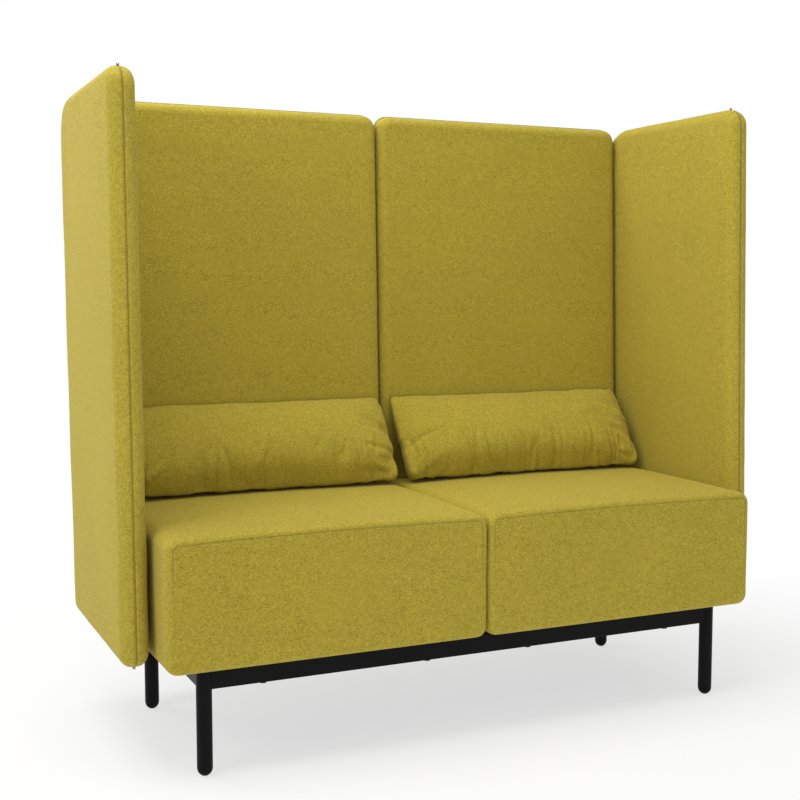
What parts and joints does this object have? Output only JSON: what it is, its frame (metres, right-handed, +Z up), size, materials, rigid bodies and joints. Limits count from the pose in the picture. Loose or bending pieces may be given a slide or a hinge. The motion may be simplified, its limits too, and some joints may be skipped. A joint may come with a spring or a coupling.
{
  "type": "high-back sofa",
  "caption": "High-back sofa with padded side wings, upright padded backs, block seats, loose lumbar cushions and a black tube frame on round legs.",
  "frame": {"origin": "on the floor, in the middle of the sofa's width and depth", "axes": "+X to the right as seen from the front, +Y to the rear, +Z up"},
  "size_m": [1.448, 0.6219, 1.315],
  "materials": {
    "upholstery": "felted wool melange, mustard green, matte",
    "frame_black": "satin black powder coat",
    "glide_black": "moulded black nylon",
    "zinc_steel": "zinc plated",
    "beech": "bare beech",
    "plywood": "bare plywood",
    "foam": "open-cell upholstery foam",
    "dust_cloth": "black non-woven cloth"
  },
  "bodies": {
    "sofa": {"back_brackets": "frame_black", "back_dowels": "beech", "bracket_screws": "zinc_steel", "centre_rail": "frame_black", "front_rail": "frame_black", "left_back_core": "plywood", "left_back_front_cover": "upholstery", "left_back_front_foam": "foam", "left_back_rear_cover": "upholstery", "left_back_rear_foam": "foam", "left_seat_cover": "upholstery", "left_seat_deck": "plywood", "left_seat_dust_cloth": "dust_cloth", "left_seat_foam": "foam", "left_seat_front_panel": "upholstery", "left_side_rail": "frame_black", "left_wing_brackets": "frame_black", "left_wing_core": "plywood", "left_wing_inner_cover": "upholstery", "left_wing_inner_foam": "foam", "left_wing_outer_cover": "upholstery", "left_wing_outer_foam": "foam", "leg_front_left": "frame_black", "leg_front_right": "frame_black", "leg_glides": "glide_black", "leg_rear_left": "frame_black", "leg_rear_right": "frame_black", "link_screws": "zinc_steel", "link_spacers": "zinc_steel", "rear_rail": "frame_black", "right_back_core": "plywood", "right_back_front_cover": "upholstery", "right_back_front_foam": "foam", "right_back_rear_cover": "upholstery", "right_back_rear_foam": "foam", "right_seat_cover": "upholstery", "right_seat_deck": "plywood", "right_seat_dust_cloth": "dust_cloth", "right_seat_foam": "foam", "right_seat_front_panel": "upholstery", "right_side_rail": "frame_black", "right_wing_brackets": "frame_black", "right_wing_core": "plywood", "right_wing_inner_cover": "upholstery", "right_wing_inner_foam": "foam", "right_wing_outer_cover": "upholstery", "right_wing_outer_foam": "foam", "seat_bolts": "zinc_steel", "seat_tee_nuts": "zinc_steel"},
    "left_cushion": {"left_cushion_front_cover": "upholstery", "left_cushion_rear_cover": "upholstery", "left_cushion_fill": "foam"},
    "right_cushion": {"right_cushion_front_cover": "upholstery", "right_cushion_rear_cover": "upholstery", "right_cushion_fill": "foam"}
  },
  "joints": [
    {"name": "left_cushion_lift", "type": "slide", "parent": "sofa", "child": "left_cushion", "axis": [0, 0, 1], "range_m": [0, 0.9]},
    {"name": "right_cushion_lift", "type": "slide", "parent": "sofa", "child": "right_cushion", "axis": [0, 0, 1], "range_m": [0, 0.9]}
  ]
}
